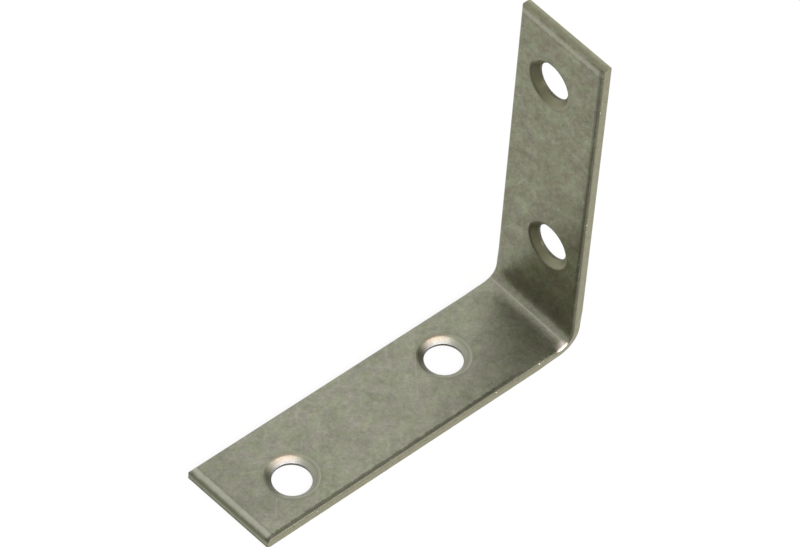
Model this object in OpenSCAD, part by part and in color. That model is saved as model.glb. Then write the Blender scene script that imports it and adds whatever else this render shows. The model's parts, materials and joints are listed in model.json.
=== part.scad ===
/* [Legs] */
// Length of the lower leg, from the outside of the heel to the long corner of its free end
lower_length = 50; // [46:1:120]
// Length of the upright leg, from the outside of the heel to its free end
upright_length = 49.2; // [46:0.2:120]
// Width of the steel strip
strip_width = 13.9; // [11:0.1:30]
// Thickness of the steel strip
sheet_thickness = 1.3; // [1.2:0.1:3]

/* [Bend] */
// Inside radius of the right-angle bend
bend_radius = 1.9; // [0.6:0.1:4]
// How far the squeezed inner edges swell out sideways at the bend
bend_swell = 0.1; // [0.05:0.05:0.5]
// How far the stretched outer edges draw in sideways at the bend
bend_draw_in = 0.1; // [0.05:0.05:0.5]
// Length of leg over which the swelling and the drawing in fade away
bend_fade_length = 3; // [1:0.1:4]

/* [Screw holes] */
// Diameter of the four screw holes
hole_diameter = 4.9; // [3:0.1:5.8]
// Mouth diameter of the countersinks, on the inner faces
countersink_diameter = 6.4; // [5.8:0.1:7]
// Full angle of the countersinks
countersink_angle = 90; // [80:5:120]
// Radius of the punched hole edges on the outer faces
hole_edge_radius = 0.35; // [0.1:0.05:0.5]
// Distance from each free end to the hole beside it, along the middle of the strip
end_hole_margin = 8.8; // [5:0.2:14]
// Distance along the strip between the two holes of a leg
hole_spacing = 26.2; // [10:0.2:30]
// Distance of each hole from the middle line of its leg
hole_stagger = 1.25; // [0:0.25:2.5]

/* [Sheared edges] */
// Width of the rolled long edges, on the inner faces
side_roll_width = 0.42; // [0.2:0.02:1]
// Depth of the rolled long edges
side_roll_depth = 0.2; // [0.1:0.05:0.4]
// Width of the rolled free ends, on the inner faces
end_roll_width = 1.1; // [0.4:0.1:2]
// Depth of the rolled free ends
end_roll_depth = 0.24; // [0.1:0.02:0.4]
// Angle by which the lower leg's free end was sheared out of square
lower_end_slant = 2.5; // [0:0.5:4]

/* [Hidden] */
steel_color = [0.55, 0.55, 0.47];
curve_facets = 96;
// Run of a cutting shape past the face that it cuts
overshoot = 1;
// Thickness of the slices that the fading stretch of a leg is drawn between
slice = 0.01;

outer_bend_radius = bend_radius + sheet_thickness;
// The origin is below the middle of the bracket, so the upright's outer face is half a leg from it
heel_y = lower_length / 2;
bend_axis_y = heel_y - outer_bend_radius;
bend_axis_z = outer_bend_radius;

hole_radius = hole_diameter / 2;
countersink_radius = countersink_diameter / 2;
countersink_depth = (countersink_radius - hole_radius) / tan(countersink_angle / 2);

// Lengths of the legs along the middle of the strip, from the outside of the heel
lower_middle_length = lower_length - strip_width / 2 * tan(lower_end_slant);
upright_middle_length = upright_length;

// Radius of the arc that falls by this depth over this width and starts level with the face
function roll_radius(width, depth) = (width * width + depth * depth) / (2 * depth);

// Waste of a rolled edge, in section: the face is at y = 0 and the sheared side is at x = 0
module roll_waste(width, depth) {
    radius = roll_radius(width, depth);
    difference() {
        translate([-width, -depth]) square([width + overshoot, depth + overshoot]);
        translate([-width, -radius]) circle(r = radius, $fn = curve_facets);
    }
}

// Section across the strip: the outer face is at y = 0 and the inner face at y = sheet_thickness
module strip_section(swell = 0, draw_in = 0) {
    outer_half = strip_width / 2 - draw_in;
    inner_half = strip_width / 2 + swell;
    difference() {
        polygon([
            [-outer_half, 0],
            [outer_half, 0],
            [inner_half, sheet_thickness],
            [-inner_half, sheet_thickness]
        ]);
        for (side = [0, 1])
            mirror([side, 0])
                translate([inner_half, sheet_thickness]) roll_waste(side_roll_width, side_roll_depth);
    }
}

// Waste of a free end, in section: the rolled edge and all that lies past the shear's cut at x = 0
module end_waste() {
    roll_waste(end_roll_width, end_roll_depth);
    translate([0, -sheet_thickness - overshoot])
        square([2 * overshoot, sheet_thickness + 2 * overshoot]);
}

// One leg without the bend: it runs along +Z from the outside of the heel, with its outer face at y = 0
module leg(middle_length, end_slant) {
    fade_end = outer_bend_radius + bend_fade_length;
    hull() {
        translate([0, 0, outer_bend_radius])
            linear_extrude(height = slice) strip_section(bend_swell, bend_draw_in);
        translate([0, 0, fade_end - slice]) linear_extrude(height = slice) strip_section();
    }
    difference() {
        translate([0, 0, fade_end])
            linear_extrude(height = middle_length + overshoot - fade_end) strip_section();
        translate([0, sheet_thickness, middle_length])
            rotate([0, end_slant - 90, 0])
                linear_extrude(height = strip_width + 2 * overshoot, center = true) end_waste();
    }
}

// Quarter turn between the legs, wider on its squeezed inside than on its stretched outside
module bend() {
    translate([0, bend_axis_y, bend_axis_z])
        rotate([90, 0, 90])
            rotate([0, 0, -90])
                rotate_extrude(angle = 90, $fn = curve_facets)
                    translate([outer_bend_radius, 0])
                        rotate(90) strip_section(bend_swell, bend_draw_in);
}

// Half profile of a screw hole's cutter: rounded at the outer face (y = 0), countersunk at the inner one
module screw_hole_profile() {
    rim_radius = hole_radius + hole_edge_radius;
    difference() {
        translate([0, -overshoot]) square([rim_radius, overshoot + hole_edge_radius]);
        translate([rim_radius, hole_edge_radius]) circle(r = hole_edge_radius, $fn = curve_facets);
    }
    square([hole_radius, sheet_thickness]);
    polygon([
        [0, sheet_thickness - countersink_depth],
        [hole_radius, sheet_thickness - countersink_depth],
        [countersink_radius, sheet_thickness],
        [countersink_radius, sheet_thickness + overshoot],
        [0, sheet_thickness + overshoot]
    ]);
}

// Cutter for one screw hole, through a sheet whose outer face is at z = 0
module screw_hole() {
    rotate_extrude($fn = curve_facets) screw_hole_profile();
}

// Cutters for both holes of one leg, which runs along +Z from the outside of the heel
module leg_holes(middle_length, end_hole_side) {
    end_hole_distance = middle_length - end_hole_margin;
    translate([end_hole_side * hole_stagger, 0, end_hole_distance]) rotate([-90, 0, 0]) screw_hole();
    translate([-end_hole_side * hole_stagger, 0, end_hole_distance - hole_spacing])
        rotate([-90, 0, 0]) screw_hole();
}

// Places what is made along +Z from the outside of the heel on the lower leg
module on_lower_leg() {
    translate([0, heel_y, 0]) rotate([90, 0, 0]) children();
}

// Places what is made along +Z from the outside of the heel on the upright leg
module on_upright_leg() {
    translate([0, heel_y, 0]) mirror([0, 1, 0]) children();
}

// The whole bracket: one folded strip with four countersunk holes
module bracket() {
    color(steel_color)
        difference() {
            union() {
                on_lower_leg() leg(lower_middle_length, lower_end_slant);
                bend();
                on_upright_leg() leg(upright_middle_length, 0);
            }
            on_lower_leg() leg_holes(lower_middle_length, 1);
            on_upright_leg() leg_holes(upright_middle_length, -1);
        }
}

bracket();
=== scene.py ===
"""A corner brace: one strip of steel folded to a right angle, with four countersunk screw holes."""

import json
import math

import bmesh
import bpy
from mathutils import Matrix, Vector, geometry


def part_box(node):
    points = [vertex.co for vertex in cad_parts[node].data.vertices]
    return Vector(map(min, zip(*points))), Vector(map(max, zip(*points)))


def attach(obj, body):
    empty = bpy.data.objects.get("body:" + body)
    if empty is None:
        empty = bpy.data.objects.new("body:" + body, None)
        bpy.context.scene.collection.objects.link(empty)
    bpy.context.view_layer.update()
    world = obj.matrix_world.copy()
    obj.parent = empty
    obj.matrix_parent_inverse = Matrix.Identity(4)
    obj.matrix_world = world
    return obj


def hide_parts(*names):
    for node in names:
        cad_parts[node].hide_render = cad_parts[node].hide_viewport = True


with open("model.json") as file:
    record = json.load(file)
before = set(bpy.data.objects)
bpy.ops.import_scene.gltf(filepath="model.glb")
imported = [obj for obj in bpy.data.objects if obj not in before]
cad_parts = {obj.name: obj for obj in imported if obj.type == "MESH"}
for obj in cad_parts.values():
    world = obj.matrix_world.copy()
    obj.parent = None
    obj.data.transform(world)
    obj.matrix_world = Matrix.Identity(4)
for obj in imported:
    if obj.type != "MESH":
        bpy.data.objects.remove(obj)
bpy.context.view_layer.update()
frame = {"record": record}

# ---------------------------------------------------------------- sizes, in millimetres up to the mesh
METRES = 0.001
low, high = (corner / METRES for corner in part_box("bracket"))
mounts = {mount["name"]: mount for mount in frame["record"]["mounts"]}

STRIP_WIDTH = 13.9
SHEET = 1.3                      # thickness of the strip
BEND_RADIUS = 1.9                # inside the bend
BEND_EASE = 0.6                  # 0 bends the strip to a plain arc, 1 eases it in and out the most
BEND_SWELL = 0.1                 # how far the inside of the bend bulges past each side
BEND_DRAW_IN = 0.1               # how far the outside of the bend draws in at each side
BEND_FADE = 3                    # length over which both fade into the straight legs
END_SLANT = math.radians(2.5)    # the lower leg's free end is sheared this far out of square
END_SLANT_REACH = 4.5            # length over which the slant fades into the leg
SIDE_ROLL_WIDTH = 0.42           # the shear rolled the inner face down over this width at the sides
SIDE_ROLL_DEPTH = 0.2
END_ROLL_WIDTH = 1.1             # and over this width at the free ends
END_ROLL_DEPTH = 0.24
COUNTERSINK_RADIUS = 3.2         # where the cone would meet the face, if its mouth were sharp
COUNTERSINK_ANGLE = math.radians(90)
MOUTH_RADIUS = 0.6               # rounding between the cone and the face
HOLE_EDGE_RADIUS = 0.35          # rounding of the hole's edge on the outer face

half_width = STRIP_WIDTH / 2
bore_radius = mounts["lower_near_hole"]["dims"]["r_mm"]

# ---------------------------------------------------------------- how finely the mesh is drawn
FACE_STEP = 0.4                  # across the faces
EDGE_STEP = 0.22                 # along the strip
BEND_STEPS = 40
SIDE_ROLL_STEPS = 6
END_ROLL_STEPS = 9
WALL_STEPS = 8
HOLE_POINTS = 80
MOUTH_STEPS = 8
HOLE_EDGE_STEPS = 5
RING_GAP = 0.7 * FACE_STEP       # from a hole to the ring of points around it
RIM_SHARE = 0.99                 # of a hole's radius: no triangle's middle is nearer than that
GRID_GAP = 1.4 * FACE_STEP       # from a hole to the face's grid of points
POINT_MERGE = 1e-5               # the triangulation joins points that are nearer than this
WELD_DISTANCE = 1e-6             # in metres
SHARPEST_SMOOTH_EDGE = math.radians(32)


# ---------------------------------------------------------------- the strip's course through the bend
def bend_heading(share):
    """How far the strip has turned at a share of the bend's length, in radians."""
    return math.pi / 2 * (share - BEND_EASE * math.sin(2 * math.pi * share) / (2 * math.pi))


def bend_path(length):
    """Points (y, z) of the strip's middle line through the bend, from its start."""
    points = [(0, 0)]
    step = length / BEND_STEPS
    for number in range(BEND_STEPS):
        turn = bend_heading((number + 0.5) / BEND_STEPS)
        y, z = points[-1]
        points.append((y + step * math.cos(turn), z + step * math.sin(turn)))
    return points


def corner_depth(path):
    """Distance from the corner where the legs' middle lines would meet to the middle of the bend."""
    corner_y = path[-1][0]
    y, z = path[BEND_STEPS // 2]
    return math.hypot(corner_y - y, z)


# The eased bend stays as far from that corner as a plain arc of the same radius does
arc_depth = (BEND_RADIUS + SHEET / 2) * (math.sqrt(2) - 1)
bend_length = arc_depth / corner_depth(bend_path(1))
bend_points = bend_path(bend_length)
bend_reach = bend_points[-1][0]
bend_start_y = high.y - SHEET / 2 - bend_reach
bend_end_z = low.z + SHEET / 2 + bend_reach

# Distances along the strip, from the lower leg's free end
bend_start = bend_start_y - low.y
bend_middle = bend_start + bend_length / 2
bend_end = bend_start + bend_length
strip_length = bend_end + high.z - bend_end_z


# ---------------------------------------------------------------- from the flat strip to the folded one
def smooth(value):
    """0 to 1 with a soft start and end, for a value that runs from 0 to 1."""
    value = min(max(value, 0), 1)
    return value * value * (3 - 2 * value)


def bend_share(along):
    """1 in the bend, fading to 0 in the straight legs on both sides of it."""
    outside = max(bend_start - along, along - bend_end, 0)
    return smooth(1 - outside / BEND_FADE)


def roll_drop(inset, width, depth):
    """How far a sheared corner has rolled down at an inset from the edge."""
    if inset >= width:
        return 0
    radius = (width ** 2 + depth ** 2) / (2 * depth)
    return radius - math.sqrt(radius ** 2 - (width - inset) ** 2)


def inner_height(along, across):
    """Height of the inner face over the outer one, with its sheared edges rolled down."""
    side = roll_drop(half_width - abs(across), SIDE_ROLL_WIDTH, SIDE_ROLL_DEPTH)
    end = roll_drop(min(along, strip_length - along), END_ROLL_WIDTH, END_ROLL_DEPTH)
    return SHEET - max(side, end)


def outer_height(along, across):
    """Height of the outer face, asked as inner_height is. The face is flat all over."""
    return 0


def place(along, across, height):
    """Where a point of the strip is once the strip is sheared and bent.

    along runs from the lower leg's free end to the upright's, across from -X to +X, and height
    from the outer face to the inner one.
    """
    share = bend_share(along)
    inward = height / SHEET
    widened = share * (BEND_SWELL * inward - BEND_DRAW_IN * (1 - inward))
    x = across * (1 + widened / half_width)
    slant = math.tan(END_SLANT) * (across + half_width)
    along += slant * smooth(1 - along / END_SLANT_REACH)
    if along <= bend_start:
        return Vector((x, low.y + along, low.z + height))
    if along >= bend_end:
        return Vector((x, high.y - height, bend_end_z + along - bend_end))
    return place_in_bend(x, (along - bend_start) / bend_length, height)


def place_in_bend(x, share, height):
    """Where a point is at a share of the bend's length."""
    step = min(int(share * BEND_STEPS), BEND_STEPS - 1)
    part = share * BEND_STEPS - step
    (y, z), (next_y, next_z) = bend_points[step], bend_points[step + 1]
    y += bend_start_y + (next_y - y) * part
    z += low.z + SHEET / 2 + (next_z - z) * part
    turn = bend_heading(share)
    lift = height - SHEET / 2
    return Vector((x, y - lift * math.sin(turn), z + lift * math.cos(turn)))


# ---------------------------------------------------------------- the strip's mesh
FACE, EDGE, CONE, BORE = range(4)    # numbers of the material slots


class Strip:
    """Collects the strip's points, as (along, across, height), and the faces between them."""

    def __init__(self):
        self.points = []
        self.faces = []
        self.materials = []

    def add_points(self, points):
        """Adds points and returns their numbers."""
        first = len(self.points)
        self.points += points
        return range(first, len(self.points))

    def add_face(self, corners, material):
        self.faces.append(corners)
        self.materials.append(material)

    def add_band(self, one, other, material, closed=False):
        """Quads between two rows of the same number of points."""
        count = len(one)
        for number in range(count if closed else count - 1):
            following = (number + 1) % count
            corners = (one[number], one[following], other[following], other[number])
            self.add_face(corners, material)


def hole_centres():
    """Each screw hole's middle as (along, across), from the record's mounts."""
    found = []
    for leg in ("lower", "upright"):
        for place_on_leg in ("near", "far"):
            mount = mounts[f"{leg}_{place_on_leg}_hole"]
            x, y, z = (value / METRES for value in mount["pos_m"])
            along = y - low.y if leg == "lower" else bend_end + z - bend_end_z
            found.append((along, x))
    return found


def spread(start, end, count):
    """This many even values from start to just before end."""
    return [start + (end - start) * number / count for number in range(count)]


def steps(start, end, size):
    """Even values from start to just before end, about this size apart."""
    return spread(start, end, round((end - start) / size))


centres = hole_centres()
side_insets = spread(0, SIDE_ROLL_WIDTH, SIDE_ROLL_STEPS)
end_insets = spread(0, END_ROLL_WIDTH, END_ROLL_STEPS)
along_values = (
    end_insets
    + steps(END_ROLL_WIDTH, bend_start, EDGE_STEP)
    + spread(bend_start, bend_end, BEND_STEPS)
    + steps(bend_end, strip_length - END_ROLL_WIDTH, EDGE_STEP)
    + [strip_length - END_ROLL_WIDTH]
    + [strip_length - inset for inset in reversed(end_insets)]
)
across_values = (
    [inset - half_width for inset in side_insets]
    + steps(SIDE_ROLL_WIDTH - half_width, half_width - SIDE_ROLL_WIDTH, FACE_STEP)
    + [half_width - SIDE_ROLL_WIDTH]
    + [half_width - inset for inset in reversed(side_insets)]
)


def circle(centre, radius):
    """Points (along, across) around a screw hole's middle."""
    along, across = centre
    turns = [2 * math.pi * number / HOLE_POINTS for number in range(HOLE_POINTS)]
    return [(along + radius * math.cos(turn), across + radius * math.sin(turn)) for turn in turns]


def clear_of_holes(point, radius):
    """Whether a point is outside the circles of this radius around the screw holes' middles."""
    return all(math.dist(point, centre) > radius for centre in centres)


def add_face_side(strip, hole_radius, height_at):
    """The inner or outer face: a grid of points with four round holes, joined by triangles."""
    grid = [(along, across) for along in along_values for across in across_values]
    flat = [point for point in grid if clear_of_holes(point, hole_radius + GRID_GAP)]
    rims = []
    for centre in centres:
        first = len(flat)
        flat += circle(centre, hole_radius)
        rims += [(first + number, first + (number + 1) % HOLE_POINTS) for number in range(HOLE_POINTS)]
        flat += circle(centre, hole_radius + RING_GAP)
    found, _, triangles, _, _, _ = geometry.delaunay_2d_cdt(
        [Vector(point) for point in flat], rims, [], 0, POINT_MERGE, True
    )
    numbers = strip.add_points([(point.x, point.y, height_at(point.x, point.y)) for point in found])
    for triangle in triangles:
        middle = sum((found[corner] for corner in triangle), Vector((0, 0))) / 3
        if clear_of_holes(middle, hole_radius * RIM_SHARE):
            strip.add_face(tuple(numbers[corner] for corner in triangle), FACE)


def add_wall(strip, rim):
    """A sheared side or end wall under a row of (along, across) points on the inner face's rim."""
    rows = []
    for step in range(WALL_STEPS + 1):
        share = step / WALL_STEPS
        rows.append(strip.add_points([(*point, inner_height(*point) * share) for point in rim]))
    for one, other in zip(rows, rows[1:]):
        strip.add_band(one, other, EDGE)


cone_tilt = (math.pi - COUNTERSINK_ANGLE) / 2    # from the face down to the cone
cone_depth = (COUNTERSINK_RADIUS - bore_radius) * math.tan(cone_tilt)
mouth_start = COUNTERSINK_RADIUS + MOUTH_RADIUS * math.tan(cone_tilt / 2)


def hole_profile():
    """(radius, height, material) down one screw hole, from the inner face to the outer one."""
    profile = []
    for step in range(MOUTH_STEPS + 1):
        turn = cone_tilt * step / MOUTH_STEPS
        height = SHEET - MOUTH_RADIUS * (1 - math.cos(turn))
        profile.append((mouth_start - MOUTH_RADIUS * math.sin(turn), height, CONE))
    profile.append((bore_radius, SHEET - cone_depth, CONE))
    profile.append((bore_radius, HOLE_EDGE_RADIUS, BORE))
    for step in range(1, HOLE_EDGE_STEPS + 1):
        turn = math.pi / 2 * step / HOLE_EDGE_STEPS
        radius = bore_radius + HOLE_EDGE_RADIUS * (1 - math.cos(turn))
        profile.append((radius, HOLE_EDGE_RADIUS * (1 - math.sin(turn)), BORE))
    return profile


def add_hole(strip, centre):
    """The countersink, the short straight land and the rounded outer edge of one screw hole."""
    last_ring = None
    for radius, height, material in hole_profile():
        ring = strip.add_points([(*point, height) for point in circle(centre, radius)])
        if last_ring:
            strip.add_band(last_ring, ring, material, closed=True)
        last_ring = ring


def draw_strip():
    """All of the strip's points and faces, still flat and straight."""
    strip = Strip()
    add_face_side(strip, mouth_start, inner_height)
    add_face_side(strip, bore_radius + HOLE_EDGE_RADIUS, outer_height)
    for across in (-half_width, half_width):
        add_wall(strip, [(along, across) for along in along_values])
    for along in (0, strip_length):
        add_wall(strip, [(along, across) for across in across_values])
    for centre in centres:
        add_hole(strip, centre)
    return strip


def make_strip():
    """The folded strip as one closed mesh, whose points keep their place on the flat strip."""
    strip = draw_strip()
    mesh = bpy.data.meshes.new("bracket_sheet")
    mesh.from_pydata([place(*point) * METRES for point in strip.points], [], strip.faces)
    mesh.polygons.foreach_set("material_index", strip.materials)
    spot = mesh.attributes.new("strip_spot", "FLOAT_VECTOR", "POINT")
    spot.data.foreach_set("vector", [value for point in strip.points for value in point])
    work = bmesh.new()
    work.from_mesh(mesh)
    bmesh.ops.remove_doubles(work, verts=work.verts, dist=WELD_DISTANCE)
    bmesh.ops.recalc_face_normals(work, faces=work.faces)
    work.to_mesh(mesh)
    work.free()
    mesh.shade_smooth()
    mesh.set_sharp_from_angle(angle=SHARPEST_SMOOTH_EDGE)
    piece = bpy.data.objects.new("bracket_sheet", mesh)
    bpy.context.scene.collection.objects.link(piece)
    return piece


# ---------------------------------------------------------------- building shaders
# A pair is where a mask starts and where it is full
PATCH_EDGE = (0.36, 0.64)
SCRATCH_EDGE = (0.66, 0.74)
SCRATCH_LENGTH = 6
SCRATCH_WIDTH = 0.25


def grey(value):
    return (value, value, value)


class Nodes:
    """Short names for what the shaders are built from, in one node tree."""

    def __init__(self, tree):
        self.tree = tree

    def feed(self, socket, value):
        """Links a socket to another node's, or sets it to a plain value."""
        if isinstance(value, bpy.types.NodeSocket):
            self.tree.links.new(value, socket)
        else:
            socket.default_value = value

    def add(self, kind, inputs=None, **settings):
        """A node with its settings, and its inputs fed by name or by number."""
        made = self.tree.nodes.new(kind)
        for name, value in settings.items():
            setattr(made, name, value)
        for name, value in (inputs or {}).items():
            self.feed(made.inputs[name], value)
        return made

    def maths(self, operation, one, other=0):
        """A maths node's result."""
        return self.add("ShaderNodeMath", {0: one, 1: other}, operation=operation).outputs[0]

    def product(self, one, other):
        return self.maths("MULTIPLY", one, other)

    def vector_maths(self, operation, one, other=(0, 0, 0), result="Vector"):
        """A vector maths node's result. For a length or a dot product it is called Value."""
        inputs = {0: one, 1: other}
        return self.add("ShaderNodeVectorMath", inputs, operation=operation).outputs[result]

    def length(self, vector):
        return self.vector_maths("LENGTH", vector, result="Value")

    def span(self, value, start, end, low_value=0, high_value=1):
        """A soft step from low_value to high_value while a value goes from start to end."""
        return self.add(
            "ShaderNodeMapRange",
            {"Value": value, "From Min": start, "From Max": end, "To Min": low_value, "To Max": high_value},
            interpolation_type="SMOOTHSTEP",
        ).outputs["Result"]

    def band(self, value, middle, reach, softness):
        """1 where a value is within reach of the middle, falling softly to 0."""
        away = self.maths("ABSOLUTE", self.maths("SUBTRACT", value, middle))
        return self.span(away, reach + softness, reach)

    def ramp(self, factor, stops):
        """A colour ramp through (position, colour) stops."""
        made = self.add("ShaderNodeValToRGB", {"Fac": factor})
        elements = made.color_ramp.elements
        while len(elements) < len(stops):
            elements.new(0.5)
        for element, (position, colour) in zip(elements, stops):
            element.position = position
            element.color = (*colour, 1)
        return made.outputs["Color"]

    def blend(self, share, one, other, kind="MIX"):
        """One colour with this share of another laid over it."""
        made = self.add("ShaderNodeMix", {0: share}, data_type="RGBA", blend_type=kind)
        for socket, colour in ((made.inputs[6], one), (made.inputs[7], other)):
            self.feed(socket, colour if isinstance(colour, bpy.types.NodeSocket) else (*colour, 1))
        return made.outputs[2]


class Steel(Nodes):
    """A metal material on the strip, with its colour built up in layers. Its sizes are in millimetres."""

    def __init__(self, name):
        self.material = bpy.data.materials.new(name)
        self.material.use_nodes = True
        super().__init__(self.material.node_tree)
        self.shader = self.tree.nodes["Principled BSDF"]
        self.shader.inputs["Metallic"].default_value = 1
        self.spot = self.add("ShaderNodeAttribute", attribute_name="strip_spot").outputs["Vector"]
        parts = self.add("ShaderNodeSeparateXYZ", {"Vector": self.spot}).outputs
        self.along, self.across, self.height = parts
        self.colour = None

    def paint(self, mask, colour, strength=1):
        """Lays a colour over the steel at this strength, where a mask is 1."""
        self.colour = self.blend(self.product(mask, strength), self.colour, colour)

    def tint(self, tint, mask=1):
        """Multiplies the steel's colour by a tint where a mask is 1."""
        self.colour = self.blend(mask, self.colour, tint, kind="MULTIPLY")

    def finish(self, roughness, relief, strength, depth):
        """Puts the layers on the shader, with a fine relief of this depth, and gives the material."""
        self.feed(self.shader.inputs["Base Color"], self.colour)
        self.feed(self.shader.inputs["Roughness"], roughness)
        inputs = {"Height": relief, "Strength": strength, "Distance": depth * METRES}
        self.feed(self.shader.inputs["Normal"], self.add("ShaderNodeBump", inputs).outputs["Normal"])
        return self.material

    def upright(self, fade=0):
        """0 on the lower leg and 1 on the upright, turning over the bend and this much past it."""
        return self.span(self.along, bend_start, bend_end + fade)

    def by_leg(self, upright, on_lower, on_upright):
        """One value on the lower leg and another on the upright."""
        return self.span(upright, 0, 1, on_lower, on_upright)

    def stretched(self, angle, length, width):
        """The point's place turned by an angle and drawn out to this length and width."""
        return self.add(
            "ShaderNodeMapping",
            {"Vector": self.spot, "Rotation": (0, 0, angle), "Scale": (length, width, 1)},
            vector_type="TEXTURE",
        ).outputs["Vector"]

    def noise(self, size, detail=4, roughness=0.7, offset=0, spot=None):
        """Blotches of about this size, as a value around 0.5. Another offset gives other blotches."""
        inputs = {"Vector": self.spot if spot is None else spot, "Location": grey(offset)}
        moved = self.add("ShaderNodeMapping", inputs).outputs["Vector"]
        inputs = {"Vector": moved, "Scale": 1 / size, "Detail": detail, "Roughness": roughness}
        return self.add("ShaderNodeTexNoise", inputs).outputs["Fac"]

    def patches(self, noise):
        """Noise sharpened to patches of 0 and 1 with soft edges."""
        return self.span(noise, *PATCH_EDGE)

    def uneven(self, value, noise, reach):
        """A distance that wavers over this reach, as the edges of a torn surface do."""
        return self.maths("ADD", value, self.product(self.maths("SUBTRACT", noise, 0.5), reach))

    def scratches(self, angle, offset):
        """Thin straight scratches at one angle to the strip, as a mask."""
        drawn_out = self.stretched(angle, SCRATCH_LENGTH, SCRATCH_WIDTH)
        lines = self.noise(size=1, detail=2, roughness=0.5, offset=offset, spot=drawn_out)
        return self.span(lines, *SCRATCH_EDGE)

    def specks(self, cell, size, share):
        """Spots of this size, in this share of the cells of a pattern, as a mask."""
        found = self.add("ShaderNodeTexVoronoi", {"Vector": self.spot, "Scale": 1 / cell, "Randomness": 1})
        number = self.add("ShaderNodeSeparateColor", {"Color": found.outputs["Color"]}).outputs["Red"]
        inside = self.span(found.outputs["Distance"], size / cell, size / cell / 2)
        return self.product(inside, self.maths("LESS_THAN", number, share))

    def hole_offset(self):
        """From a screw hole's middle to a point in or near it, as (along, across, 0), and 0 elsewhere."""
        found = (0, 0, 0)
        for centre in centres:
            offset = self.vector_maths("SUBTRACT", self.spot, (*centre, 0))
            flat_offset = self.vector_maths("MULTIPLY", offset, (1, 1, 0))
            near = self.maths("LESS_THAN", self.length(flat_offset), 2 * COUNTERSINK_RADIUS)
            part = self.vector_maths("MULTIPLY", flat_offset, near)
            found = self.vector_maths("ADD", part, found)
        return found

    def facing(self, hole_offset, side):
        """1 where a point lies to this side of its hole, falling to -1 on the opposite side."""
        turn = math.radians(side)
        middle_of_side = (math.sin(turn), math.cos(turn), 0)
        bearing = self.vector_maths("NORMALIZE", hole_offset)
        return self.vector_maths("DOT_PRODUCT", bearing, middle_of_side, result="Value")


# ---------------------------------------------------------------- the faces
MILL_FINISH = [
    (0.25, (0.168, 0.171, 0.126)),
    (0.5, (0.272, 0.276, 0.208)),
    (0.75, (0.376, 0.380, 0.294)),
]
GRAIN_SHADES = [(0.25, grey(0.72)), (0.75, grey(1.04))]
GRAIN_ROUGHNESS = [(0.3, grey(0.32)), (0.7, grey(0.44))]
PATCH_TINTS = [(0, (0.985, 0.94, 1.02)), (1, (0.935, 0.985, 0.90))]      # mauve and green
STREAK_TINTS = [(0, (0.84, 0.755, 0.69)), (1, (1.04, 1.11, 0.975))]      # brown and green, on the upright
STREAK_ANGLE = math.radians(45)
FACE_SCRATCH = (0.42, 0.42, 0.34)
FACE_PIT = (0.08, 0.075, 0.05)
FACE_NICK = (0.62, 0.61, 0.54)
END_DARKENING = grey(0.85)
BEND_LINE_HIGHLIGHT = (0.42, 0.41, 0.33)
END_CREST_HIGHLIGHT = (0.42, 0.42, 0.345)
END_LIP_SHADE = (0.1, 0.103, 0.065)
END_FOOT = grey(0.07)
SHEAR_LINE = (0.07, 0.07, 0.045)
ROLLED_CORNER_SHADE = (0.08, 0.08, 0.058)
SIDE_CHIP = (0.66, 0.65, 0.56)
BEND_CORNER_HIGHLIGHT = (0.72, 0.66, 0.58)
HOLE_RIM_SHADE = (0.16, 0.155, 0.11)

# Where the marks are, in millimetres
DARKER_ALONG = (9, 4)
DARKER_ACROSS = (5.5, 3)
BEND_LINE_SHARE = 0.38            # a painted highlight line lies across the bend at this share of its length
CREST_INSET = 0.72
LIP_INSETS = (0.4, 0.05)
FOOT_INSET = END_ROLL_WIDTH + 0.15
SHEAR_LINE_FROM_BEND = (5, 14)   # the dark line along the side fades in this far from the bend
CHIPS_ACROSS = (half_width - 0.75, half_width - 0.35)
CORNER_HIGHLIGHT_ALONG = bend_middle - 1.3
CORNER_HIGHLIGHT_ACROSS = (half_width - 1.3, half_width - 0.25)
HALO_RADIUS = COUNTERSINK_RADIUS + 0.25

# Sides of a screw hole, in degrees from +X towards the upright's free end
HALO_SIDE = -75                  # the ring of painted shade is darkest on this side of each hole
SHEEN_SIDE = 65                 # the lower countersinks carry a painted sheen on this side
WARM_SIDE = 160                  # they are tinted here to colour the highlight, warm at the rim and cold at the bottom
CRESCENT_SIDE = -110                 # and they carry painted shade here
CONE_SHADE_SIDE = 150                  # the upright's countersinks carry painted shade, darkest here
LIGHTER_SHADE_SIDE = 128                  # and lighter again here

# How directly a point must face one of those sides, where 1 is straight at it and -1 away from it
HALO_TURN = (-0.4, 0.8)
SHEEN_TURN = (0.1, 0.8)
WARM_TURN = (0.78, 0.98)
COLD_TURN = (0.2, 0.8)
CRESCENT_TURN = (0.55, 0.95)
CONE_SHADE_TURN = (-0.85, 0.1)
LIGHTER_SHADE_TURN = (0.8, 1)


def add_mottling(steel, grain, upright):
    """Olive-grey steel with soft patches of two tints, and with slanting streaks on the upright."""
    steel.colour = steel.ramp(steel.noise(size=2.4, detail=6, roughness=0.9), MILL_FINISH)
    steel.tint(steel.ramp(grain, GRAIN_SHADES))
    blotches = steel.noise(size=1.5, detail=4, roughness=0.8, offset=40)
    steel.tint(steel.ramp(steel.patches(blotches), PATCH_TINTS))
    drawn_out = steel.stretched(STREAK_ANGLE, length=2, width=1)
    streaks = steel.noise(size=1.6, detail=5, roughness=0.9, offset=40, spot=drawn_out)
    steel.tint(steel.ramp(steel.patches(streaks), STREAK_TINTS), mask=upright)


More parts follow.
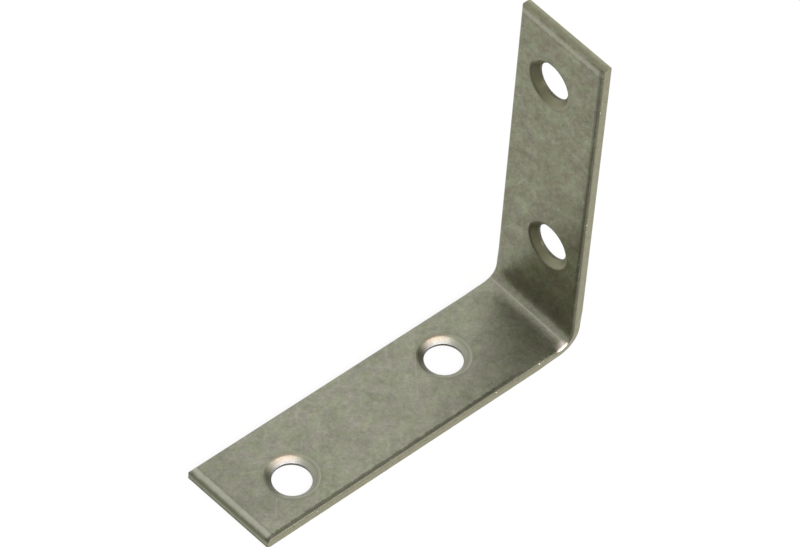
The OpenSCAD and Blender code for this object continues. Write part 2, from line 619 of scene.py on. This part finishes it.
def add_wear_and_highlight(steel):
    """Faint scratches, pits, bright nicks, a darker end of the lower leg and a painted highlight line across
    the bend.
    """
    one_way = steel.scratches(angle=0.5, offset=3)
    other_way = steel.scratches(angle=-0.9, offset=17)
    steel.paint(steel.maths("MAXIMUM", one_way, other_way), FACE_SCRATCH, strength=0.25)
    steel.paint(steel.specks(cell=3.1, size=0.13, share=0.4), FACE_PIT, strength=0.7)
    steel.paint(steel.specks(cell=4.3, size=0.12, share=0.25), FACE_NICK, strength=0.6)
    # darker towards the lower leg's free end, away from its +X side
    darker_end = steel.product(steel.span(steel.along, *DARKER_ALONG), steel.span(steel.across, *DARKER_ACROSS))
    steel.tint(END_DARKENING, mask=darker_end)
    # painted highlight: a light line across the bend
    bend_highlight_line = steel.band(steel.along, bend_start + BEND_LINE_SHARE * bend_length, reach=0.08, softness=0.14)
    steel.paint(bend_highlight_line, BEND_LINE_HIGHLIGHT, strength=0.4)


def add_end_marks(steel, waver, upright):
    """On the free ends' rolled edges: a painted highlight on the crest, painted shade at the lip (lower leg)
    and a line at the foot.
    """
    from_end = steel.maths("MINIMUM", steel.along, steel.maths("SUBTRACT", strip_length, steel.along))
    inset = steel.uneven(from_end, waver, reach=0.35)
    # painted highlight along the crest of the rolled end
    steel.paint(steel.band(inset, CREST_INSET, reach=0.15, softness=0.35), END_CREST_HIGHLIGHT, strength=0.45)
    # painted shade on the outermost lip of the rolled end, on the lower leg only
    lip_shade_strength = steel.by_leg(upright, on_lower=0.75, on_upright=0)
    steel.paint(steel.span(inset, *LIP_INSETS), END_LIP_SHADE, lip_shade_strength)
    steel.paint(steel.band(inset, FOOT_INSET, reach=0.07, softness=0.15), END_FOOT, strength=0.15)


def add_side_marks(steel, waver, upright):
    """Along the +X side: a dark shear line clear of the bend, painted shade on the rolled corner and bright
    chips.
    """
    side = steel.uneven(steel.across, waver, reach=0.7)
    from_bend = steel.maths("ABSOLUTE", steel.maths("SUBTRACT", steel.along, bend_middle))
    line = steel.band(side, half_width - SIDE_ROLL_WIDTH, reach=0.14, softness=0.12)
    clear_line = steel.product(line, steel.span(from_bend, *SHEAR_LINE_FROM_BEND))
    steel.paint(clear_line, SHEAR_LINE, steel.by_leg(upright, on_lower=0.7, on_upright=0.5))
    # painted shade on the rolled corner, darkest on the lower leg
    corner = steel.band(side, half_width, reach=0.25, softness=0.1)
    steel.paint(corner, ROLLED_CORNER_SHADE, steel.by_leg(upright, on_lower=0.9, on_upright=0.5))
    beside_edge = steel.span(steel.across, *CHIPS_ACROSS)
    chips = steel.product(steel.specks(cell=1.4, size=0.17, share=0.35), beside_edge)
    steel.paint(chips, SIDE_CHIP, strength=0.7)


def add_bend_corner_highlight(steel):
    """A painted highlight: the bright patch at the +X side of the bend, where folding squeezed the steel."""
    at_bend = steel.band(steel.along, CORNER_HIGHLIGHT_ALONG, reach=0.3, softness=1)
    at_side = steel.span(steel.across, *CORNER_HIGHLIGHT_ACROSS)
    steel.paint(steel.product(at_bend, at_side), BEND_CORNER_HIGHLIGHT, strength=0.9)


def add_hole_rim_shade(steel):
    """A ring of painted shade on the face around each countersink, fainter on the far side of the hole."""
    offset = steel.hole_offset()
    ring = steel.band(steel.length(offset), HALO_RADIUS, reach=0.15, softness=0.35)
    to_halo_side = steel.facing(offset, HALO_SIDE)
    strength = steel.span(to_halo_side, *HALO_TURN, low_value=0.15, high_value=0.4)
    steel.paint(ring, HOLE_RIM_SHADE, strength)


def face_steel():
    """The dull mill finish of the inner and outer faces."""
    steel = Steel("face_steel")
    upright = steel.upright(fade=BEND_FADE)
    grain = steel.noise(size=0.4, detail=4, roughness=0.9, offset=7)
    waver = steel.noise(size=0.7, offset=5)
    add_mottling(steel, grain, upright)
    add_wear_and_highlight(steel)
    add_end_marks(steel, waver, upright)
    add_side_marks(steel, waver, upright)
    add_bend_corner_highlight(steel)
    add_hole_rim_shade(steel)
    roughness = steel.ramp(grain, GRAIN_ROUGHNESS)
    return steel.finish(roughness, relief=grain, strength=0.3, depth=0.04)


# ---------------------------------------------------------------- the sheared walls
# Colours from the outer face (0) up to the inner one (1)
SIDE_WALL = [
    (0.1, (0.345, 0.335, 0.235)),
    (0.6, (0.35, 0.335, 0.23)),
    (0.75, (0.31, 0.298, 0.205)),
    (0.92, (0.21, 0.205, 0.135)),
]
LOWER_END_WALL = [
    (0.1, (0.13, 0.136, 0.09)),
    (0.35, (0.30, 0.315, 0.207)),
    (0.6, (0.2, 0.21, 0.138)),
    (0.9, (0.095, 0.1, 0.066)),
]
TOP_END_WALL = [
    (0.1, (0.31, 0.31, 0.215)),
    (0.4, (0.225, 0.225, 0.155)),
    (0.6, (0.195, 0.195, 0.135)),
    (1, (0.21, 0.21, 0.145)),
]
WALL_SHADES = [(0.3, grey(0.7)), (0.7, grey(1.0))]
DARK_TOP_BAND = (0.06, 0.06, 0.042)
WALL_PIT = (0.06, 0.055, 0.04)
WALL_NICK = (0.8, 0.79, 0.7)
DARK_TOP_RISE = (0.8, 0.95)       # the wall is darker from here up, on the lower leg
END_WALL_SKIN = 0.02             # points this near to a free end are on its wall


def edge_steel():
    """The sheared walls: pale torn steel below, and darker steel under the rolled corner."""
    steel = Steel("edge_steel")
    tears = steel.noise(size=0.5, detail=5, roughness=0.8)
    rise = steel.maths("DIVIDE", steel.uneven(steel.height, tears, reach=0.5), SHEET)
    steel.colour = steel.ramp(rise, SIDE_WALL)
    dark_top_strength = steel.by_leg(steel.upright(), on_lower=0.9, on_upright=0)
    steel.paint(steel.span(rise, *DARK_TOP_RISE), DARK_TOP_BAND, dark_top_strength)
    lower_end = steel.span(steel.along, END_WALL_SKIN, 0)
    steel.paint(lower_end, steel.ramp(rise, LOWER_END_WALL))
    top_end = steel.span(steel.along, strip_length - END_WALL_SKIN, strip_length)
    steel.paint(top_end, steel.ramp(rise, TOP_END_WALL))
    shades = steel.noise(size=0.9, detail=5, roughness=0.85, offset=11)
    steel.tint(steel.ramp(shades, WALL_SHADES))
    steel.paint(steel.specks(cell=0.9, size=0.14, share=0.4), WALL_PIT, strength=0.75)
    steel.paint(steel.specks(cell=1.3, size=0.14, share=0.35), WALL_NICK, strength=0.8)
    return steel.finish(roughness=0.5, relief=tears, strength=0.5, depth=0.06)


# ---------------------------------------------------------------- the screw holes
PRESSED_STEEL = [(0.3, (0.222, 0.209, 0.175)), (0.7, (0.305, 0.288, 0.255))]
CONE_SHEEN = (0.36, 0.365, 0.295)
RIM_STEEL = (0.268, 0.272, 0.208)
WARM_TINT = (0.93, 0.80, 0.79)
COLD_TINT = (0.92, 0.97, 1.12)
CONE_CRESCENT_SHADE = (0.1, 0.1, 0.07)
CONE_DEEP_SHADE = (0.1, 0.099, 0.06)
CONE_LIGHT_SHADE = (0.24, 0.235, 0.155)
UPRIGHT_CONE_STEEL = (0.245, 0.24, 0.158)
BORE_SHADES = [(0.35, (0.065, 0.062, 0.042)), (0.65, (0.12, 0.116, 0.085))]

# Heights over the outer face
RIM_HEIGHTS = (0.9, 1.25)
WARM_HEIGHTS = (0.8, 1.2)
COLD_HEIGHTS = (0.9, 0.55)
SHEEN_RIM = (1, 0.4)            # the painted sheen fades out towards the rim


def add_lower_countersinks(steel, marks, offset):
    """Bright pressed steel: a painted sheen on one side, painted shade on another, and a highlight tinted
    warm at the rim and cold at the bottom.
    """
    steel.colour = steel.ramp(marks, PRESSED_STEEL)
    rim = steel.span(steel.height, *RIM_HEIGHTS)
    # painted sheen on one side of each lower countersink
    sheen_side = steel.span(steel.facing(offset, SHEEN_SIDE), *SHEEN_TURN)
    steel.paint(steel.product(sheen_side, steel.span(rim, *SHEEN_RIM)), CONE_SHEEN)
    steel.paint(rim, RIM_STEEL)
    # tints that colour the highlight: warm at the rim, cold lower down
    to_warm_side = steel.facing(offset, WARM_SIDE)
    warm = steel.product(steel.span(steel.height, *WARM_HEIGHTS), steel.span(to_warm_side, *WARM_TURN))
    steel.tint(WARM_TINT, mask=warm)
    cold = steel.product(steel.span(steel.height, *COLD_HEIGHTS), steel.span(to_warm_side, *COLD_TURN))
    steel.tint(COLD_TINT, mask=cold)
    # painted shade: a dark crescent on one side of each lower countersink
    steel.paint(steel.span(steel.facing(offset, CRESCENT_SIDE), *CRESCENT_TURN), CONE_CRESCENT_SHADE, strength=0.8)


def painted_cone_shade(steel, offset):
    """The painted shade in the upright's countersinks."""
    lighter_part = steel.span(steel.facing(offset, LIGHTER_SHADE_SIDE), *LIGHTER_SHADE_TURN)
    shade_share = steel.span(steel.facing(offset, CONE_SHADE_SIDE), *CONE_SHADE_TURN)
    return steel.blend(shade_share, UPRIGHT_CONE_STEEL, steel.blend(lighter_part, CONE_DEEP_SHADE, CONE_LIGHT_SHADE))


def countersink_steel():
    """The cones of the screw holes: bright on the lower leg, and darkened by painted shade on the upright.
    """
    steel = Steel("countersink_steel")
    marks = steel.noise(size=0.5, detail=5, roughness=0.8)
    offset = steel.hole_offset()
    add_lower_countersinks(steel, marks, offset)
    # painted shade over the upright's countersinks
    steel.paint(steel.upright(), painted_cone_shade(steel, offset))
    return steel.finish(roughness=0.44, relief=marks, strength=0.3, depth=0.03)


def bore_steel():
    """The dark, rough wall of the punched holes and their rounded outer edge."""
    steel = Steel("bore_steel")
    marks = steel.noise(size=0.3)
    steel.colour = steel.ramp(marks, BORE_SHADES)
    return steel.finish(roughness=0.45, relief=marks, strength=0.4, depth=0.04)


def dress(piece):
    """Gives the strip its materials, in the order of the slots FACE, EDGE, CONE and BORE."""
    for material in (face_steel(), edge_steel(), countersink_steel(), bore_steel()):
        piece.data.materials.append(material)


# ---------------------------------------------------------------- floor, light and camera, in metres
WHITE = (1, 1, 1, 1)
PAPER = (0.88, 0.88, 0.88, 1)
PAPER_ROUGHNESS = 0.9
PAPER_SHINE = 0.1
PAPER_WHITE_SHARE = 0.9          # plain white over the seen floor; the rest keeps the bracket's shadow
FLOOR_RADIUS = 1.5
FLOOR_CORNERS = 96
FRONT_GLOW = 0.85                # how bright the studio is in front of the bracket, towards -Y
BACK_GLOW = 1.35                 # and behind it, towards +Y
GLOW_TURN = (-0.9, 0.5)          # the glow turns from one to the other between these Y of a direction
DAYLIGHT = 0.7                   # level of the studio's light, where what metal mirrors of it is 1
SOFTBOX_COLOUR = (1, 0.94, 0.92)


def mirrored_ray(nodes, path):
    """1 for rays that metal mirrors or that glass lets through."""
    return nodes.maths("MAXIMUM", path["Is Glossy Ray"], path["Is Transmission Ray"])


def make_floor():
    """White paper that is plain white to the camera and in reflections, apart from the shadow."""
    bpy.ops.mesh.primitive_circle_add(vertices=FLOOR_CORNERS, radius=FLOOR_RADIUS, fill_type="NGON")
    floor = bpy.context.object
    floor.name = "studio_floor"
    made = bpy.data.materials.new("floor_paper")
    made.use_nodes = True
    nodes = Nodes(made.node_tree)
    paper = nodes.tree.nodes["Principled BSDF"]
    paper.inputs["Base Color"].default_value = PAPER
    paper.inputs["Roughness"].default_value = PAPER_ROUGHNESS
    paper.inputs["Specular IOR Level"].default_value = PAPER_SHINE
    path = nodes.add("ShaderNodeLightPath").outputs
    seen = nodes.maths("MAXIMUM", path["Is Camera Ray"], mirrored_ray(nodes, path))
    white = nodes.add("ShaderNodeEmission", {"Color": WHITE, "Strength": 1})
    share = nodes.product(seen, PAPER_WHITE_SHARE)
    mixed = nodes.add("ShaderNodeMixShader", {0: share, 1: paper.outputs[0], 2: white.outputs[0]})
    nodes.feed(nodes.tree.nodes["Material Output"].inputs["Surface"], mixed.outputs[0])
    floor.data.materials.append(made)


def make_world():
    """A white studio, plain white to the camera, that dims softly from the back to the front."""
    world = bpy.data.worlds.new("studio")
    bpy.context.scene.world = world
    world.use_nodes = True
    nodes = Nodes(world.node_tree)
    heading = nodes.add("ShaderNodeTexCoord").outputs["Generated"]
    heading_y = nodes.add("ShaderNodeSeparateXYZ", {"Vector": heading}).outputs["Y"]
    glow = nodes.span(heading_y, *GLOW_TURN, FRONT_GLOW, BACK_GLOW)
    path = nodes.add("ShaderNodeLightPath").outputs
    level = nodes.span(mirrored_ray(nodes, path), 0, 1, DAYLIGHT, 1)
    around = nodes.tree.nodes["Background"]
    around.inputs["Color"].default_value = WHITE
    nodes.feed(around.inputs["Strength"], nodes.product(glow, level))
    white = nodes.add("ShaderNodeBackground", {"Color": WHITE, "Strength": 1})
    inputs = {0: path["Is Camera Ray"], 1: around.outputs[0], 2: white.outputs[0]}
    mixed = nodes.add("ShaderNodeMixShader", inputs)
    nodes.feed(nodes.tree.nodes["World Output"].inputs["Surface"], mixed.outputs[0])


def direction(azimuth, elevation):
    """The unit vector towards an azimuth (0 is -Y, 90 is +X) and an elevation, in degrees."""
    turn = math.radians(azimuth)
    rise = math.radians(elevation)
    return Vector((math.sin(turn) * math.cos(rise), -math.cos(turn) * math.cos(rise), math.sin(rise)))


def add_softbox(name, azimuth, elevation, distance, width, depth, power):
    """A rectangular lamp that faces the origin, out of the camera's sight."""
    light = bpy.data.lights.new(name, "AREA")
    light.shape = "RECTANGLE"
    light.size = width
    light.size_y = depth
    light.energy = power
    light.color = SOFTBOX_COLOUR
    lamp = bpy.data.objects.new(name, light)
    lamp.location = direction(azimuth, elevation) * distance
    lamp.rotation_mode = "QUATERNION"
    lamp.rotation_quaternion = direction(azimuth, elevation).to_track_quat("Z", "Y")
    lamp.visible_camera = False
    bpy.context.scene.collection.objects.link(lamp)


VIEW_AZIMUTH = 45.585
VIEW_ELEVATION = 49.315
VIEW_ROLL = math.radians(4.275)
VIEW_DISTANCE = 0.5486
VIEW_SHIFT = Vector((0, 0.00061, 0.00017))    # from the middle of the bracket's box to where the camera aims
VIEW_LENS = 212.82
SENSOR_WIDTH = 36                # like the lens, in millimetres
NEAREST_SEEN = 0.01


def make_camera():
    """The photograph's view of the bracket."""
    camera = bpy.data.objects.new("camera", bpy.data.cameras.new("camera"))
    back = direction(VIEW_AZIMUTH, VIEW_ELEVATION)
    level = Vector((0, 0, 1)).cross(back).normalized()
    upward = back.cross(level)
    right = level * math.cos(VIEW_ROLL) + upward * math.sin(VIEW_ROLL)
    turn = Matrix((right, back.cross(right), back)).transposed().to_4x4()
    aim = (low + high) / 2 * METRES + VIEW_SHIFT
    camera.matrix_world = Matrix.Translation(aim + back * VIEW_DISTANCE) @ turn
    camera.data.lens = VIEW_LENS
    camera.data.sensor_width = SENSOR_WIDTH
    camera.data.clip_start = NEAREST_SEEN
    bpy.context.scene.collection.objects.link(camera)
    bpy.context.scene.camera = camera


make_camera()
make_world()
make_floor()
add_softbox("softbox_right", azimuth=78, elevation=42, distance=0.8, width=1.3, depth=0.25, power=8)
sheet = make_strip()
dress(sheet)
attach(sheet, "root")
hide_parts("bracket")

bpy.context.scene.view_settings.view_transform = "Standard"
